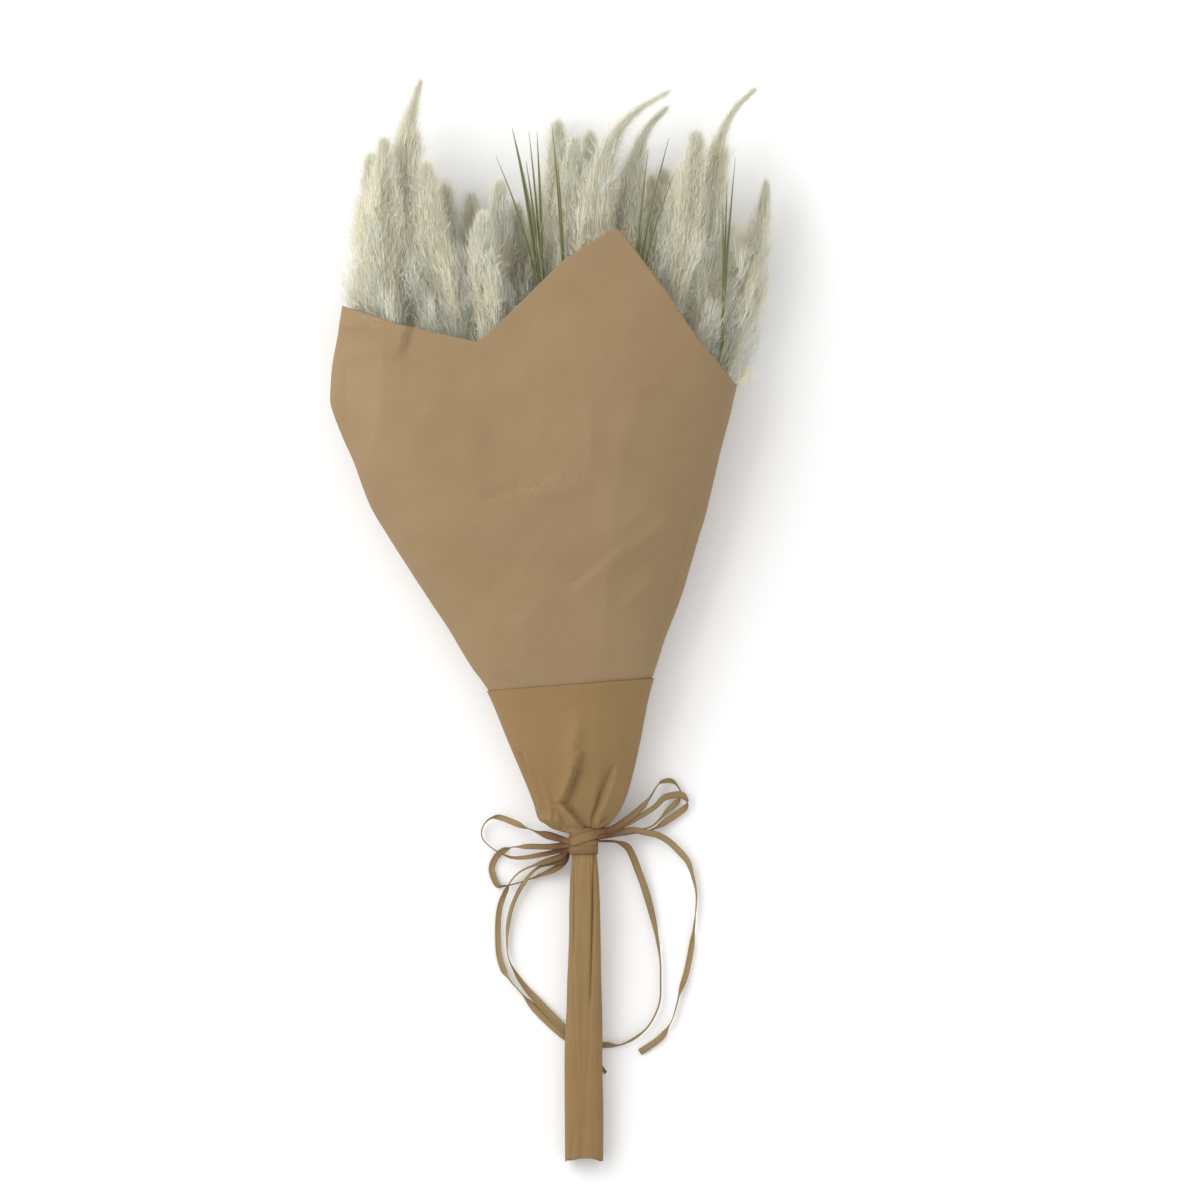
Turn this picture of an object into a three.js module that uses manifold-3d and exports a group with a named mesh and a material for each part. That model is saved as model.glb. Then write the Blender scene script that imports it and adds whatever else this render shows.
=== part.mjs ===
// A bunch of dried pampas grass lying on its back: nineteen plumes and four sprigs of thin grass
// blades in a two-part kraft paper wrap, tied at the neck with a raffia bow.
// Millimetres. +Y runs from the cut stems to the plume tips, +Z is up from the surface it lies on,
// and the origin is the middle of the underside.
import * as THREE from 'three';
import { mergeVertices } from 'three/addons/utils/BufferGeometryUtils.js';
import Module from 'manifold-3d';

const wasm = await Module();
wasm.setup();

// ---- Driving sizes ----
const tieX = 21;                 // the stem tube runs beside the middle of the bunch
const tieY = -151.5;             // where the raffia holds the neck
const stemTubeLength = 222.8;    // neck to foot
const fanLength = 411.5;         // neck to the height where the fan's width is set
const wrapWidth = 279;           // widest place of the upper sheet
const wrapDepth = 100;           // thickness of the open end, before the underside is pressed flat
const fanInset = 6;              // the fan of stems is this much narrower than the wrap
const fanCover = 40;             // and this much shallower
const plumeRadius = 8.5;
const stemDiameter = 2.2;
const stemGap = 0.3;             // between neighbouring stems in the neck
const tubeSpread = 1.35;         // stems stand this much wider apart in the tube than in the neck
const neckLift = 12.6;           // the neck is held this high, so that raffia passes below the tube
const paperWall = 0.8;
const paperGap = 0.6;            // between the paper and the stems it holds
const bandWidth = 16;
const bandThickness = 1;
const raffiaDiameter = 1.6;
const touchGap = 0.3;            // left between pieces that meet

// ---- Sizes that follow ----
const fanWidth = wrapWidth - fanInset;   // outermost stem to outermost stem at the fan's height
const fanDepth = wrapDepth - fanCover;
const footY = tieY - stemTubeLength;
const neckLength = bandWidth + 2 * touchGap;
const neckEnd = -neckLength / 2; // below the tie, where the stems start to part again
const stemPitch = stemDiameter + stemGap;
const rowPitch = stemPitch * Math.sqrt(3) / 2;
const outerColumn = 2.5;         // pitches from the middle of the neck to its outermost stem
const outerRow = 2;
const stemSkin = stemDiameter / 2 + paperGap + paperWall;
const neckHalfWidth = outerColumn * stemPitch + stemSkin;
const neckHalfDepth = outerRow * rowPitch + stemSkin;
const tubeHalfWidth = outerColumn * stemPitch * tubeSpread + stemSkin;
const tubeHalfDepth = outerRow * rowPitch * tubeSpread + stemSkin;
const neckZ = neckLift + neckHalfDepth;
const footZ = tubeHalfDepth;

// ---- Materials ----
const plumeLook = material(0xbcb8a4, 1);
const grassLook = material(0x8f8d6c, 0.8);
const sheetLook = material(0xa38b68, 0.85);
const sleeveLook = material(0x957c55, 0.85);
const raffiaLook = material(0x96733f, 0.6);

function material(color, roughness) {
  return new THREE.MeshStandardMaterial({ color, roughness, metalness: 0 });
}

function named(name, geometry, look) {
  const mesh = new THREE.Mesh(geometry, look);
  mesh.name = name;
  return mesh;
}

// ---- Shared geometry ----
const { clamp, lerp } = THREE.MathUtils;

// The values at one height, read from a list of sections in order of y.
function valuesAt(sections, y) {
  let i = 0;
  while (i < sections.length - 2 && y > sections[i + 1].y) i += 1;
  const low = sections[i];
  const high = sections[i + 1];
  const share = clamp((y - low.y) / (high.y - low.y), 0, 1);
  return Object.fromEntries(Object.keys(low).map((key) => [key, lerp(low[key], high[key], share)]));
}

function closed(geometry) {
  geometry.deleteAttribute('normal');
  geometry.deleteAttribute('uv');
  const merged = mergeVertices(geometry, 1e-4);
  merged.computeVertexNormals();
  return merged;
}

// A round stem, plume or blade: turned about the Y axis, then each ring slides onto its centreline.
function grownGeometry(levels, sides) {
  const rings = [{ ...levels[0], radius: 0 }, ...levels, { ...levels[levels.length - 1], radius: 0 }];
  const profile = rings.map((ring) => new THREE.Vector2(ring.radius, ring.y));
  const geometry = new THREE.LatheGeometry(profile, sides);
  const position = geometry.attributes.position;
  for (let k = 0; k < position.count; k += 1) {
    const ring = rings[k % rings.length];
    position.setX(k, position.getX(k) + ring.x);
    position.setZ(k, position.getZ(k) + ring.z);
  }
  return closed(geometry);
}

// A tube with a wall: turned about the Y axis, then each point goes where place() puts it.
// All such tubes have the same number of sides, so that one fits inside another.
const wallSides = 32;

function walledGeometry(levelCount, wall, place) {
  const outside = Array.from({ length: levelCount }, (_, level) => ({ level, inward: 0 }));
  const inside = outside.map(({ level }) => ({ level, inward: wall })).reverse();
  const loop = [...outside, ...inside, outside[0]];
  const profile = loop.map(({ level, inward }) => new THREE.Vector2(2 * wall - inward, level));
  const geometry = new THREE.LatheGeometry(profile, wallSides);
  const position = geometry.attributes.position;
  for (let k = 0; k < position.count; k += 1) {
    const side = Math.floor(k / loop.length) % wallSides;
    const angle = Math.PI / 2 - 2 * Math.PI * side / wallSides;
    const { level, inward } = loop[k % loop.length];
    const point = place(angle, level, inward);
    position.setXYZ(k, point.x, point.y, point.z);
  }
  return closed(geometry);
}

// How far across (-1 to 1) and how high a rounded section is at an angle.
function roundedSection(angle, squareness) {
  const power = 2 / squareness;
  return {
    across: Math.sign(Math.cos(angle)) * Math.abs(Math.cos(angle)) ** power,
    up: Math.sign(Math.sin(angle)) * Math.abs(Math.sin(angle)) ** power,
  };
}

// A point on the paper's section at height y, drawn inward by its wall and pressed flat below.
function paperPoint(sections, angle, y, inward) {
  const section = valuesAt(sections, y);
  const { across, up } = roundedSection(angle, section.squareness);
  const x = section.x + across * (section.halfWidth - inward);
  const z = section.z + up * (section.halfDepth - inward);
  return { x, y, z: Math.max(z, inward) };
}

// ---- Stems: one hexagonal packing in the neck, opened out into a fan above it ----
const fanX = 1.5;
const fanZ = 47;
const bendLength = 50;           // stems bend outward over this length above the neck
const spreadLength = 60;         // and part over this length below it
const upright = 0.3;             // above the fan's height they go on widening at this share

function fanShare(y) {
  const above = Math.max(0, y - tieY);
  const straight = fanLength - bendLength / 2;
  if (above < bendLength) return above * above / (2 * bendLength * straight);
  const share = (above - bendLength / 2) / straight;
  return share < 1 ? share : 1 + upright * (share - 1);
}

// The tube slopes from the raised neck down to the foot.
function tubeMiddle(y) {
  const down = clamp((tieY + neckEnd - y) / (stemTubeLength + neckEnd), 0, 1);
  return lerp(neckZ, footZ, down);
}

function stemPlace(column, row, y) {
  const share = fanShare(y);
  const below = clamp((tieY + neckEnd - y) / spreadLength, 0, 1);
  const spread = lerp(1, tubeSpread, below);
  const reachX = lerp(outerColumn * stemPitch * spread, fanWidth / 2, share);
  const reachZ = lerp(outerRow * rowPitch * spread, fanDepth / 2, share);
  const middleX = lerp(tieX, fanX, share);
  const middleZ = lerp(tubeMiddle(y), fanZ, share);
  return { x: middleX + reachX * column / outerColumn, z: middleZ + reachZ * row / outerRow };
}

// Half the distance from one stem to the nearest of its neighbours in the next two rows.
function roomAt(y) {
  const here = stemPlace(0, 0, y);
  const neighbours = [stemPlace(0.5, 1, y), stemPlace(0, 2, y)];
  return Math.min(...neighbours.map(({ x, z }) => Math.hypot(here.x - x, here.z - z))) / 2;
}

// ---- Plumes ----
// column and row are the stem's place in the packing, top is the tip's height above the tie.
// sway and lean are how far the plume stands aside in its middle and at its tip, and a larger
// curl keeps the lean to the last part of the tip.
const plumes = [
  { column: -2.5, row: 1, top: 483, sway: 8, lean: 27, curl: 1.6 },
  { column: -2.5, row: -1, top: 472, sway: 5, lean: 16, curl: 1.6 },
  { column: -2, row: 0, top: 525.8, sway: 3, lean: 28, curl: 3.2 },
  { column: -1.5, row: 1, top: 467, sway: 0, lean: -3, curl: 2 },
  { column: -1.5, row: -1, top: 452, sway: 2, lean: 9, curl: 2 },
  { column: -1, row: 2, top: 431, sway: 1, lean: 6, curl: 2 },
  { column: -1, row: 0, top: 454, sway: 5, lean: 19, curl: 1.5 },
  { column: -1, row: -2, top: 446, sway: 0, lean: -2, curl: 2 },
  { column: -0.5, row: -1, top: 438, sway: 0, lean: 1, curl: 2 },
  { column: 0, row: 0, top: 484, sway: 4, lean: 15, curl: 1.5 },
  { column: 0, row: -2, top: 496, sway: 0, lean: 3, curl: 2 },
  { column: 0.5, row: 1, top: 519, sway: 3, lean: 56, curl: 7 },
  { column: 0.5, row: -1, top: 488, sway: 0, lean: -4, curl: 2 },
  { column: 1, row: 0, top: 508, sway: -3, lean: 23, curl: 9 },
  { column: 1, row: -2, top: 458, sway: 2, lean: 11, curl: 2 },
  { column: 1.5, row: 1, top: 488, sway: 3, lean: 12, curl: 1.5 },
  { column: 1.5, row: -1, top: 462, sway: -3, lean: -9, curl: 2 },
  { column: 2, row: 0, top: 521, sway: -4, lean: 25, curl: 9 },
  { column: 2.5, row: -1, top: 455, sway: 1, lean: 10.5, curl: 1.6 },
];
const plumeBase = 95;            // plumes start this far above the tie
const freeBase = 350;            // and stand free of the wrap from here
const stemEndInset = 5;          // stems end inside the foot of the tube
const stemHeights = [
  stemEndInset - stemTubeLength,
  neckEnd - spreadLength,
  neckEnd,
  -neckEnd,
  bendLength / 2,
  bendLength,
];
const plumeSides = 6;
const plumeShares = [0.12, 0.3, 0.5, 0.66, 0.78, 0.86, 0.92, 0.96, 1];
const tipRadius = 0.6;

function plumeLevels({ column, row, top, sway, lean, curl }) {
  const ring = (above, radius) => {
    const y = tieY + above;
    const place = stemPlace(column, row, y);
    const free = Math.max(0, (above - freeBase) / (top - freeBase));
    const aside = sway * Math.sin(Math.PI * free) + lean * free ** curl;
    return { x: place.x + aside, y, z: place.z, radius };
  };
  const stem = [...stemHeights, plumeBase].map((above) => ring(above, stemDiameter / 2));
  const plume = plumeShares.map((share) => {
    const above = lerp(plumeBase, top, share);
    const fullness = Math.min(1, 3 * share, 2.3 * (1 - share));
    const radius = Math.min(plumeRadius, 0.9 * roomAt(tieY + above)) * fullness;
    return ring(above, Math.max(tipRadius, radius));
  });
  return [...stem, ...plume];
}

function plumeStalks() {
  return plumes.map((plume, index) => {
    const name = `plume_stalk_${String(index + 1).padStart(2, '0')}`;
    return named(name, grownGeometry(plumeLevels(plume), plumeSides), plumeLook);
  });
}

// ---- Sprigs of grass: a thin stem whose blades part at one joint ----
// joint is that joint's height above the tie and shift how far it stands aside; each blade is
// the x of its tip and the tip's height above the tie.
const sprigs = [
  {
    column: -0.5, row: 1, joint: 372, shift: 14,
    blades: [[-39.3, 471.3], [-28.3, 491.3], [-18.6, 467.9], [-16.6, 488.6], [-11, 487.9]],
  },
  { column: 0, row: 2, joint: 372, shift: 5, blades: [[-0.7, 492.7], [3.4, 466.5]] },
  {
    column: 1, row: 2, joint: 372, shift: 4,
    blades: [[62.1, 428.9], [65.6, 476.2], [80, 483.7], [83.5, 459.6]],
  },
  { column: 2.5, row: 1, joint: 350, shift: 0, blades: [[117, 440], [120, 452.7], [125.6, 470]] },
];
const sprigStemRadius = 0.8;
const bladeRootRadius = 0.5;
const bladeRadius = 0.8;
const bladeTipRadius = 0.3;
const bladeRise = 9;             // blade tips stand this much higher than the joint
const firstRoot = 12;            // blades leave the stem this far below the joint
const rootStep = 2.5;            // and one below the other by this much
const sprigSides = 6;

function solidOf(geometry) {
  const vertProperties = Float32Array.from(geometry.attributes.position.array);
  const triVerts = Uint32Array.from(geometry.index.array);
  return new wasm.Manifold(new wasm.Mesh({ numProp: 3, vertProperties, triVerts }));
}

function geometryOf(solid) {
  const mesh = solid.getMesh();
  const geometry = new THREE.BufferGeometry();
  geometry.setAttribute('position', new THREE.BufferAttribute(Float32Array.from(mesh.vertProperties), 3));
  geometry.setIndex(Array.from(mesh.triVerts));
  geometry.computeVertexNormals();
  return geometry;
}

function sprigGeometry({ column, row, joint, shift, blades }) {
  const ring = (above, radius) => {
    const place = stemPlace(column, row, tieY + above);
    return { x: place.x + shift * Math.max(0, above / joint), y: tieY + above, z: place.z, radius };
  };
  const stemLevels = [...stemHeights, joint].map((above) => ring(above, sprigStemRadius));
  const stem = solidOf(grownGeometry(stemLevels, sprigSides));
  return geometryOf(blades.reduce((body, [tipX, tipTop], index) => {
    const top = ring(joint, bladeRadius);
    const tip = { x: tipX, y: tieY + tipTop, z: top.z + bladeRise, radius: bladeTipRadius };
    const root = ring(joint - firstRoot - rootStep * index, bladeRootRadius);
    return body.add(solidOf(grownGeometry([root, top, tip], sprigSides)));
  }, stem));
}

function grassSprigs() {
  return sprigs.map((sprig, index) => named(`grass_sprig_${index + 1}`, sprigGeometry(sprig), grassLook));
}

// ---- Paper ----
const coneSquareness = 2.4;
const tubeSquareness = 3.4;
// Sections of the cone, by share of the fan's length above the tie: its middle, its half width as
// a share of the way from the neck's to the wrap's, its half depth as a share of the wrap's, and
// the height of its middle.
const coneSections = [
  { share: 0.032, x: 16, width: 0.117, depth: 0.25, z: 20.5 },
  { share: 0.06, x: 17.6, width: 0.163, depth: 0.33, z: 21.5 },
  { share: 0.108, x: 16.6, width: 0.223, depth: 0.43, z: 23 },
  { share: 0.158, x: 14.8, width: 0.273, depth: 0.51, z: 25 },
  { share: 0.234, x: 11.7, width: 0.345, depth: 0.6, z: 27.3 },
  { share: 0.335, x: 5.5, width: 0.488, depth: 0.7, z: 31 },
  { share: 0.42, x: 1.4, width: 0.608, depth: 0.79, z: 34 },
  { share: 0.49, x: -4.8, width: 0.719, depth: 0.86, z: 37 },
  { share: 0.56, x: -11, width: 0.825, depth: 0.91, z: 39.5 },
  { share: 0.635, x: -12.8, width: 0.897, depth: 0.95, z: 41.5 },
  { share: 0.715, x: -14.8, width: 0.981, depth: 0.98, z: 43 },
  { share: 0.765, x: -14.5, width: 1, depth: 1, z: 44 },
  { share: 1.03, x: -2, width: 1.032, depth: 1, z: 46 },
].map(({ share, x, width, depth, z }) => ({
  y: tieY + share * fanLength,
  x,
  halfWidth: lerp(neckHalfWidth, wrapWidth / 2, width),
  z,
  halfDepth: depth * wrapDepth / 2,
  squareness: coneSquareness,
}));

const sleeveTop = 107;           // the sleeve's upper edge, above the tie
const sleeveTilt = 4.4;          // which stands higher by this much on the right, lower on the left
const sleeveEdge = (across) => sleeveTop + sleeveTilt * across;
const sheetTuck = 42;            // length of the upper sheet inside the sleeve
const tuckGap = 0.6;             // between the two papers there
const sheetRelease = 14;         // above the sleeve's edge the upper sheet swells to its full width
const sheetShares = [0.12, 0.26, 0.4, 0.54, 0.7, 0.85, 1];

// The upper edge across the front: a corner, the dip beside it, the high point and the low right end.
const cornerTop = 368.5;
const rightTop = 314;
const frontEdge = [
  { y: -1, top: cornerTop },
  { y: -0.324, top: 343 },
  { y: 0.324, top: 421 },
  { y: 1, top: rightTop },
];

function sheetEdge(angle, across) {
  if (Math.sin(angle) >= 0) return valuesAt(frontEdge, across).top;
  return lerp(cornerTop, rightTop, (across + 1) / 2);
}

// The sheet tucks into the sleeve, so its lowest levels follow the sleeve's and are drawn in by its
// wall; above the sleeve's edge they share out the height that is left.
function upperWrapSheet() {
  const tucked = paperWall + tuckGap;
  const inSleeve = (y) => y >= tieY + sleeveTop - sheetTuck && y < tieY + sleeveTop - 2 * sleeveTilt;
  const levels = [
    ...coneSections.map(({ y }) => y).filter(inSleeve).map((y) => ({ drawnIn: tucked, height: () => y })),
    { drawnIn: tucked, height: (angle, across) => tieY + sleeveEdge(across) + 1 },
    ...[0, ...sheetShares].map((share) => ({
      drawnIn: 0,
      height: (angle, across) => {
        return tieY + lerp(sleeveEdge(across) + sheetRelease, sheetEdge(angle, across), share);
      },
    })),
  ];
  const place = (angle, level, inward) => {
    const { across } = roundedSection(angle, coneSquareness);
    const { drawnIn, height } = levels[level];
    return paperPoint(coneSections, angle, height(angle, across), inward + drawnIn);
  };
  return named('upper_wrap_sheet', walledGeometry(levels.length, paperWall, place), sheetLook);
}

// The sleeve is one sheet: the open foot, the tube round the stems, the neck and the lower cone.
const footFlare = 1.18;

function tubeSection(below, widen) {
  const y = tieY - below;
  return {
    y,
    x: tieX,
    halfWidth: tubeHalfWidth * widen,
    z: tubeMiddle(y),
    halfDepth: tubeHalfDepth,
    squareness: tubeSquareness,
  };
}

function neckSection(above) {
  return {
    y: tieY + above,
    x: tieX,
    halfWidth: neckHalfWidth,
    z: neckZ,
    halfDepth: neckHalfDepth,
    squareness: tubeSquareness,
  };
}

function stemSleeve() {
  const sections = [
    tubeSection(stemTubeLength, footFlare),
    tubeSection(150, footFlare),
    tubeSection(100, 1.06),
    tubeSection(spreadLength, 1),
    tubeSection(4 - neckEnd, 1),
    neckSection(neckEnd),
    neckSection(-neckEnd),
    ...coneSections,
  ];
  const heights = sections.map(({ y }) => y).filter((y) => y < tieY + sleeveTop - 2 * sleeveTilt);
  const place = (angle, level, inward) => {
    const { across } = roundedSection(angle, coneSquareness);
    const y = level < heights.length ? heights[level] : tieY + sleeveEdge(across);
    return paperPoint(sections, angle, y, inward);
  };
  return named('stem_sleeve', walledGeometry(heights.length + 1, paperWall, place), sleeveLook);
}

// ---- Raffia ----
const knotHalfWidth = neckHalfWidth + touchGap + bandThickness;
const knotHalfDepth = neckHalfDepth + touchGap + bandThickness;

function raffiaKnot() {
  const place = (angle, level, inward) => {
    const { across, up } = roundedSection(angle, tubeSquareness);
    return {
      x: tieX + across * (knotHalfWidth - inward),
      y: tieY + bandWidth * (level - 0.5),
      z: neckZ + up * (knotHalfDepth - inward),
    };
  };
  return named('raffia_knot', walledGeometry(2, bandThickness, place), raffiaLook);
}

// A cord starts and may end at a side of the knot. Its points are given from the tie's middle, and
// a side's height from the neck's. The strands spread in step with the knot's width, and the three
// long ones hang in step with the tube's length.
const cordGap = 0.5;             // between the knot's side and a cord's slanting end
const sideReach = knotHalfWidth + cordGap;
const routeReach = 10.55;        // the side's reach that the strands' points are given for
const routeTube = 222.8;         // and the tube's length
const place = (x, y, z) => new THREE.Vector3(tieX + x, tieY + y, z);
const point = (x, y, z) => place(x * sideReach / routeReach, y, z);
const hung = (x, y, z) => point(x, y * stemTubeLength / routeTube, z);
const leftSide = (y, z) => place(-sideReach, y, neckZ + z);
const rightSide = (y, z) => place(sideReach, y, neckZ + z);

const raffiaRoutes = {
  raffia_loop_left_1: [
    leftSide(-1, 5),
    point(-23, 2.5, 21), point(-36, 6.5, 15), point(-47, 11, 10), point(-57.5, 15, 7),
    point(-64, 14.5, 5.5), point(-68.5, 10.5, 4), point(-70.5, 5.5, 3.5), point(-69.5, 0, 3.5),
    point(-64, -5.5, 4.5), point(-57.5, -9.5, 6), point(-50, -12.5, 7.5), point(-40.5, -12.5, 9),
    point(-26.5, -10, 13), point(-16, -7.5, 17.5),
    leftSide(-5.3, 1),
  ],
  raffia_loop_left_2: [
    leftSide(-3.3, 3),
    point(-23, -5, 18.5), point(-37, -5, 11), point(-48.5, -5.5, 5), point(-55.5, -8, 3),
    point(-60.5, -12.5, 2.7), point(-63.5, -19.5, 2.7), point(-62.5, -25.5, 2.7), point(-59.5, -32, 2.7),
    point(-56, -32.5, 2.7), point(-49.5, -31.5, 2.7), point(-40.5, -29, 3), point(-30, -25, 5),
    point(-19.5, -20.5, 8.5), point(-13, -15, 12),
    leftSide(-7.1, -5.3),
  ],
  raffia_loop_right_1: [
    rightSide(5.6, 5),
    point(19.7, 7.5, 22.5), point(28.7, 13, 19), point(39, 21, 14), point(46, 29, 10.5),
    point(50.8, 37, 8), point(55, 40, 6.5), point(60.5, 40.5, 5), point(64.5, 37.5, 4),
    point(67, 33, 3), point(66.5, 28.5, 2.7), point(64, 25, 2.7), point(59, 20.5, 3.2),
    point(53.5, 14.5, 4.5), point(48, 9.5, 6.5), point(41, 7, 9), point(28.5, 6, 12.5),
    point(19.5, 5.2, 15.5),
    rightSide(3.9, 1),
  ],
  raffia_loop_right_2: [
    rightSide(3.3, 3.2),
    point(19.5, 5.5, 20.5), point(31, 11.5, 16.5), point(42, 17.5, 12), point(50, 23, 8.5),
    point(55.5, 28.5, 6.8), point(62, 30.5, 6), point(68, 30.5, 5.5), point(71.8, 26.5, 4.5),
    point(70.5, 22, 4), point(65, 17.5, 4), point(57.5, 12.5, 4.5), point(49.5, 7.5, 6),
    point(40.5, 5, 8), point(28.5, 3.5, 11.5),
    rightSide(1.3, -3),
  ],
  raffia_long_loop: [
    leftSide(-6.9, -1.1),
    hung(-12.2, -7.5, 17.8), hung(-15, -11.5, 16), hung(-23, -14.5, 13), hung(-35.5, -18.5, 9),
    hung(-44.5, -23, 7),
    hung(-50.5, -29.5, 5.8), hung(-54, -36.5, 4.8), hung(-57.5, -45.5, 4), hung(-59, -55, 3.5),
    hung(-59.3, -67.5, 3.2), hung(-58.5, -80, 3), hung(-55.5, -90.5, 2.9), hung(-50.5, -98.5, 2.8),
    hung(-43, -107, 2.2), hung(-35, -116, 1.5), hung(-25, -126, 1), hung(-16, -134, 0.9),
    hung(-9.5, -138.5, 0.9), hung(-1, -141.5, 0.9), hung(7.5, -142.5, 0.9), hung(15.5, -142.5, 1.5),
    hung(25, -142.5, 2.2), hung(35, -138, 2.7), hung(44, -130.5, 3), hung(50, -120.5, 3),
    hung(53, -110.5, 3), hung(53.3, -96.5, 3), hung(53, -84, 3), hung(51, -69, 3.2),
    hung(47.5, -52.5, 3.6), hung(43, -36, 4.5), hung(38, -22, 6), hung(33.5, -10.5, 8),
    hung(29.5, -4.5, 10), hung(22, -1.5, 12.5),
    rightSide(-1.1, -5),
  ],
  raffia_tail_left: [
    leftSide(-7.2, -3.2),
    hung(-12.1, -8.5, 15.7), hung(-14, -14, 14), hung(-21.5, -16.5, 11), hung(-30, -19, 9),
    hung(-36, -23.5, 7.2),
    hung(-40.5, -29.5, 6), hung(-45, -36.5, 5), hung(-49.5, -47, 4), hung(-52, -58, 3.5),
    hung(-53, -70.5, 3.2), hung(-51.5, -83, 3), hung(-46.5, -93.5, 3), hung(-39.5, -103.5, 3),
    hung(-30.5, -113.5, 3), hung(-21.5, -123, 2.8), hung(-12.5, -132.5, 2.7), hung(-3.5, -141.5, 2.7),
    hung(6, -151, 2.4), hung(15.5, -162, 1.6),
  ],
  raffia_tail_right: [
    rightSide(2.1, -1),
    hung(19.5, 3.3, 18.8), hung(26.5, 5, 17.6), hung(33.5, 6.5, 15.2), hung(42.5, 4.9, 12),
    hung(51.5, 2.8, 9.5), hung(59.7, -2, 7.5), hung(67.3, -9.5, 5.5), hung(72.5, -16, 4.2),
    hung(75.6, -25.5, 3.4), hung(78, -36.5, 3), hung(78, -47, 3), hung(76.6, -60.5, 3),
    hung(74.2, -78, 3), hung(70.8, -94, 3), hung(66.6, -106, 3), hung(63.5, -118, 3),
    hung(60, -127.5, 3), hung(54.2, -136.5, 2.8), hung(46, -143, 2), hung(39, -147.5, 1),
  ],
};
const cordSides = 8;
const cordStep = 3;              // one step of a cord's tube, in diameters

function cordSection() {
  const corner = (k) => {
    const angle = 2 * Math.PI * k / cordSides;
    return new THREE.Vector2(Math.cos(angle), Math.sin(angle)).multiplyScalar(raffiaDiameter / 2);
  };
  return new THREE.Shape(Array.from({ length: cordSides }, (_, k) => corner(k)));
}

function raffiaCords() {
  return Object.entries(raffiaRoutes).map(([name, route]) => {
    const extrudePath = new THREE.CatmullRomCurve3(route);
    const steps = Math.round(extrudePath.getLength() / (cordStep * raffiaDiameter));
    return named(name, closed(new THREE.ExtrudeGeometry(cordSection(), { steps, extrudePath })), raffiaLook);
  });
}

// ---- The bunch ----
const bunch = new THREE.Group();
bunch.add(...plumeStalks(), ...grassSprigs(), upperWrapSheet(), stemSleeve(), raffiaKnot(), ...raffiaCords());
export default bunch;
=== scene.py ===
# A bunch of dried pampas grass lying on its back: plumes and sprigs of grass in two kraft papers,
# tied at the neck with a raffia bow. Metres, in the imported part's own frame.
import math
import random

import bmesh
import bpy
import numpy as np
from mathutils import Matrix, Vector, noise


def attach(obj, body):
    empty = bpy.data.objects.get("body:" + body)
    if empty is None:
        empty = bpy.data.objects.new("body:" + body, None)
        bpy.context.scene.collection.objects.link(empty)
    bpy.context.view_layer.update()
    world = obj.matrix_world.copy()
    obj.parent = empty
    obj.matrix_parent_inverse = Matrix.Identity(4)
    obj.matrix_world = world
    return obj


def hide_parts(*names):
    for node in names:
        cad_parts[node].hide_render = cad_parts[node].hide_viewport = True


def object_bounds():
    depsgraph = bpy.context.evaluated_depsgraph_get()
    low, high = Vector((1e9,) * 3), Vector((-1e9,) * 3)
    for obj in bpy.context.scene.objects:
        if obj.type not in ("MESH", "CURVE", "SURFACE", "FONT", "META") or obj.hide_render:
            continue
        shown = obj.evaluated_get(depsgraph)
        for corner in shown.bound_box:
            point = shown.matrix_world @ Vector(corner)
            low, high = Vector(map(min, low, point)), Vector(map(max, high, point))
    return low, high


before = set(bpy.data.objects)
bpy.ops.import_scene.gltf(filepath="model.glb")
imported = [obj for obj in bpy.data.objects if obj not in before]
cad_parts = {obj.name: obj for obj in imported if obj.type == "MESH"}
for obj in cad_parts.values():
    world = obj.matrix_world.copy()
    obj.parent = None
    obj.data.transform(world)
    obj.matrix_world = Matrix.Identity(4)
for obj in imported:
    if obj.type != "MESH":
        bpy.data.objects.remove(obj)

cad_low, cad_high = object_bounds()

# ---- Pampas plumes ----
# Nineteen dried stalks, each a straw-like stem whose top half carries soft branches of silky seed
# hair. They stand in a fan and are held together only by the paper and the tie.
tie_y = -0.1515
plume_start = tie_y + 0.20  # the lowest hair, deep in the wrap
mouth_y = tie_y + 0.29  # above here the plumes may be seen, and are full
plume_reach = 0.021  # how far branches stand out from the stem
plume_swell = 0.105  # a plume reaches its full width this far below its tip
branch_count = 175
branch_drift = 0.3  # radians that a branch may stray from its even turn
longest_branch = 0.08  # at the foot of a plume
branch_loss = 0.045  # how much shorter they are at its tip
bare_tip = 0.008
inner_branch = 0.4  # a branch that stays closer in than this share is straw-coloured
tuft_step = 0.0046  # from tuft to tuft along a branch
hidden_tuft_step = 0.011  # the same, deep in the paper
hidden_depth = 0.05
stem_width = 0.0019
stem_rings = 60
stem_sides = 7
stem_squeeze = 0.15  # the tie and the tube draw the stems together by this share
tuft_hairs = 36
tuft_width = 0.0025
tuft_length = 0.007  # the hairs' roots lie along this much of the branch
hair_length = 0.012
hair_width = 0.00023
tone_drift = 0.12
golden_turn = math.pi * (3 - math.sqrt(5))
# These stalks end in a slim tail of this length, with little hair on it.
long_tails = {2: 0.022, 11: 0.03, 13: 0.03, 17: 0.04}
tail_fullness = 0.07


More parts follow.
